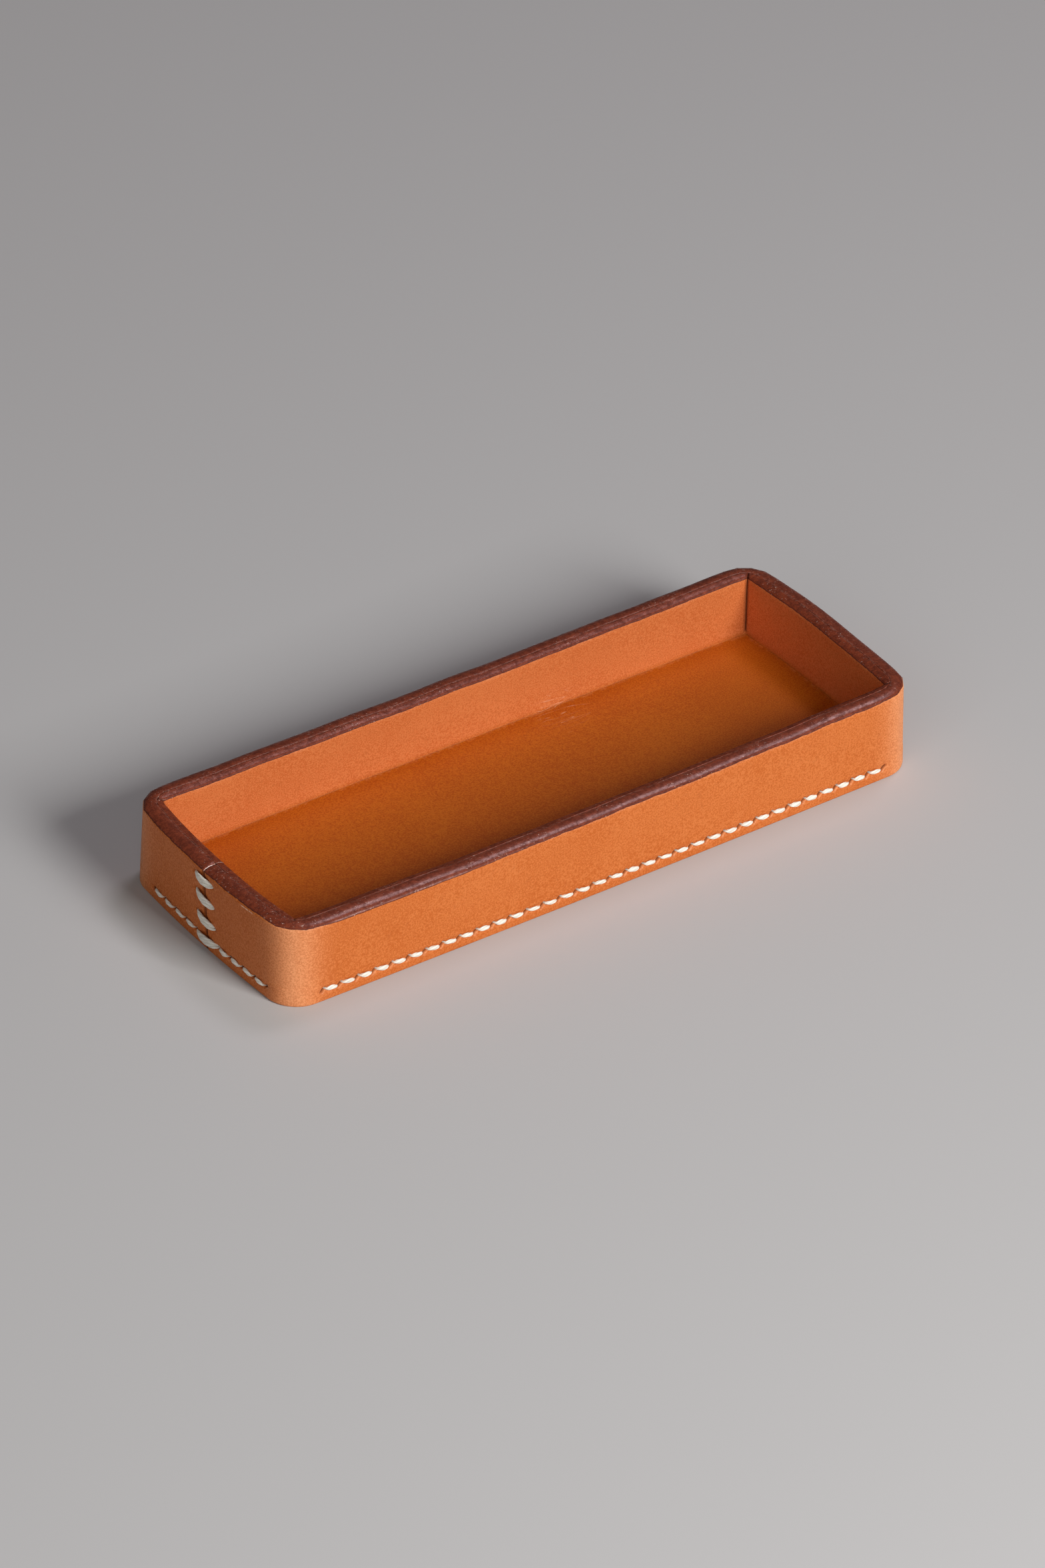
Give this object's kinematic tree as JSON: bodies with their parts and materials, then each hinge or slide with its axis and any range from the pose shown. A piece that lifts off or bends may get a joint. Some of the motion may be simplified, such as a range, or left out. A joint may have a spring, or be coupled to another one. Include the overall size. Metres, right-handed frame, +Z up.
{
  "type": "leather tray",
  "caption": "Long shallow leather tray: thick stitched outer band, laced at one short wall, over a sole and a folded-up leather lining.",
  "frame": {"origin": "on the surface that the tray stands on, under the middle of the tray", "axes": "+X along the tray, with the laced short wall facing -X; -Y out of the long wall that faces the camera; +Z up"},
  "size_m": [0.1941, 0.0728, 0.0247],
  "materials": {
    "grain_leather": "smooth vegetable-tanned grain, burnished dark at the rim",
    "lining_leather": "smooth vegetable-tanned grain, soft sheen",
    "sole_leather": "matt",
    "waxed_thread": "waxed, natural white"
  },
  "bodies": {
    "root": {"outer_band": "grain_leather", "sole": "sole_leather", "lining": "lining_leather", "front_thread": "waxed_thread", "back_thread": "waxed_thread", "right_thread": "waxed_thread", "left_far_thread": "waxed_thread", "left_near_thread": "waxed_thread", "joint_thread": "waxed_thread"}
  },
  "joints": []
}
